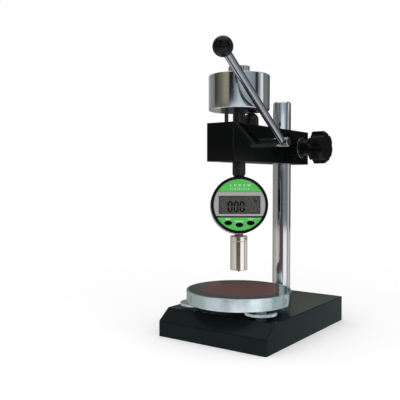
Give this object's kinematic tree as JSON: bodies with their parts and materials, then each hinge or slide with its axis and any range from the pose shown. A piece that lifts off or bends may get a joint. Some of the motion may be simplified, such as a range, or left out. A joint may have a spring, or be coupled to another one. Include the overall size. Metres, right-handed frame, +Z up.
{
  "type": "hardness tester",
  "caption": "Bench hardness tester: a digital gauge under a lever-lifted dead weight, on an arm clamped to a column over a levelling platform.",
  "frame": {"origin": "middle of the base's underside", "axes": "+Z up along the column, front of the base towards -Y, lever and clamp knob on the +X side"},
  "size_m": [0.128, 0.2348, 0.288],
  "materials": {
    "black_enamel": "glossy black enamel",
    "chromed_steel": "polished chrome plate",
    "plated_steel": "zinc plated, satin",
    "dark_steel": "blackened, oiled",
    "bronze": "plain bearing bronze",
    "green_glass": "ground edge, clear plate",
    "ball_plastic": "polished phenolic",
    "knob_plastic": "moulded, satin",
    "case_metal": "turned, satin",
    "bezel_plastic": "moulded, satin",
    "face_print": "printed film",
    "window_plastic": "clear flat window",
    "display": "liquid crystal display",
    "board": "printed circuit board",
    "button_rubber": "moulded, matt",
    "foot_nickel": "satin nickel",
    "hard_steel": "ground",
    "copper_coil": "wound and lacquered",
    "liner_nylon": "plain nylon"
  },
  "bodies": {
    "stand": {"base_casting": "black_enamel", "column": "chromed_steel", "column_bolt": "dark_steel", "column_washer": "plated_steel", "levelling_studs": "plated_steel", "platform_disc": "plated_steel", "platform_glass": "green_glass", "platform_rim_screws": "dark_steel"},
    "nut_right": {"levelling_nut_right": "plated_steel"},
    "nut_rear": {"levelling_nut_rear": "plated_steel"},
    "nut_left": {"levelling_nut_left": "plated_steel"},
    "arm_slider": {"column_liner": "liner_nylon"},
    "arm": {"arm_block": "black_enamel", "arm_cover": "dark_steel", "arm_cover_screws": "plated_steel", "spindle_bush_upper": "bronze", "spindle_bush_lower": "bronze", "lifter_bush": "bronze", "shaft_bush_outer": "dark_steel", "shaft_bush_inner": "bronze", "guide_rod": "dark_steel", "clamp_washer": "plated_steel"},
    "clamp": {"clamp_screw": "plated_steel", "clamp_knob": "knob_plastic"},
    "lever": {"lever_shaft": "chromed_steel", "lever_rod": "chromed_steel", "lever_ball": "ball_plastic", "crank": "hard_steel", "crank_pin": "hard_steel", "crank_roller": "hard_steel"},
    "lifter": {"lifter": "dark_steel"},
    "spindle": {"spindle": "dark_steel", "weight": "chromed_steel", "spindle_sleeve": "dark_steel", "sleeve_screw": "dark_steel"},
    "weight_nut": {"weight_nut": "chromed_steel"},
    "gauge": {"gauge_bezel": "bezel_plastic", "gauge_case": "case_metal", "gauge_back_cover": "bezel_plastic", "gauge_back_screws": "plated_steel", "face_plate": "face_print", "display_window": "window_plastic", "display_module": "display", "circuit_board": "board", "sensor_coil": "copper_coil", "battery_holder": "knob_plastic", "battery": "plated_steel", "mounting_stem": "hard_steel", "neck_bush": "foot_nickel", "foot_collar": "foot_nickel", "foot_collar_screws": "dark_steel", "foot_housing": "foot_nickel", "indenter_spring": "hard_steel"},
    "indenter": {"indenter": "hard_steel"},
    "button_left": {"button_left": "button_rubber"},
    "button_middle": {"button_middle": "button_rubber"},
    "button_right": {"button_right": "button_rubber"}
  },
  "joints": [
    {"name": "levelling_nut_right_turn", "type": "hinge", "parent": "stand", "child": "nut_right", "pos_m": [0.03984, -0.058, 0.0319], "axis": [0, 0, 1], "continuous": true},
    {"name": "levelling_nut_rear_turn", "type": "hinge", "parent": "stand", "child": "nut_rear", "pos_m": [0, 0.011, 0.0319], "axis": [0, 0, 1], "continuous": true},
    {"name": "levelling_nut_left_turn", "type": "hinge", "parent": "stand", "child": "nut_left", "pos_m": [-0.03984, -0.058, 0.0319], "axis": [0, 0, 1], "continuous": true},
    {"name": "arm_height", "type": "slide", "parent": "stand", "child": "arm_slider", "axis": [0, 0, 1], "range_m": [-0.005, 0.03]},
    {"name": "arm_swing", "type": "hinge", "parent": "arm_slider", "child": "arm", "pos_m": [0, 0.06, 0.2005], "axis": [0, 0, 1], "continuous": true},
    {"name": "clamp_knob_turn", "type": "hinge", "parent": "arm", "child": "clamp", "pos_m": [0, 0.0792, 0.2005], "axis": [1, 0, 0], "range_deg": [0, 180]},
    {"name": "lever_turn", "type": "hinge", "parent": "arm", "child": "lever", "pos_m": [0, 0.0025, 0.203], "axis": [1, 0, 0], "range_deg": [0, 60]},
    {"name": "lifter_travel", "type": "slide", "parent": "arm", "child": "lifter", "axis": [0, 0, 1], "range_m": [-0.01205, 0]},
    {"name": "spindle_travel", "type": "slide", "parent": "arm", "child": "spindle", "axis": [0, 0, 1], "range_m": [-0.01205, 0]},
    {"name": "weight_nut_turn", "type": "hinge", "parent": "spindle", "child": "weight_nut", "pos_m": [0, -0.035, 0.2756], "axis": [0, 0, 1], "continuous": true},
    {"name": "gauge_turn", "type": "hinge", "parent": "spindle", "child": "gauge", "pos_m": [0, -0.035, 0.137], "axis": [0, 0, 1], "continuous": true},
    {"name": "indenter_travel", "type": "slide", "parent": "gauge", "child": "indenter", "axis": [0, 0, 1], "range_m": [0, 0.0025], "stiffness_N_per_m": 3000, "springref_m": -0.00018, "deforming": ["indenter_spring"]},
    {"name": "button_left_press", "type": "slide", "parent": "gauge", "child": "button_left", "axis": [-0.5736, 0.8192, 0], "range_m": [0, 0.0005], "stiffness_N_per_m": 600, "springref_m": -0.0005},
    {"name": "button_middle_press", "type": "slide", "parent": "gauge", "child": "button_middle", "axis": [-0.5736, 0.8192, 0], "range_m": [0, 0.0005], "stiffness_N_per_m": 600, "springref_m": -0.0005},
    {"name": "button_right_press", "type": "slide", "parent": "gauge", "child": "button_right", "axis": [-0.5736, 0.8192, 0], "range_m": [0, 0.0005], "stiffness_N_per_m": 600, "springref_m": -0.0005}
  ],
  "couplings": [
    {"joint": "lifter_travel", "follows": "lever_turn", "m_per_rad": -0.011459},
    {"joint": "spindle_travel", "follows": "lever_turn", "m_per_rad": -0.011459}
  ]
}
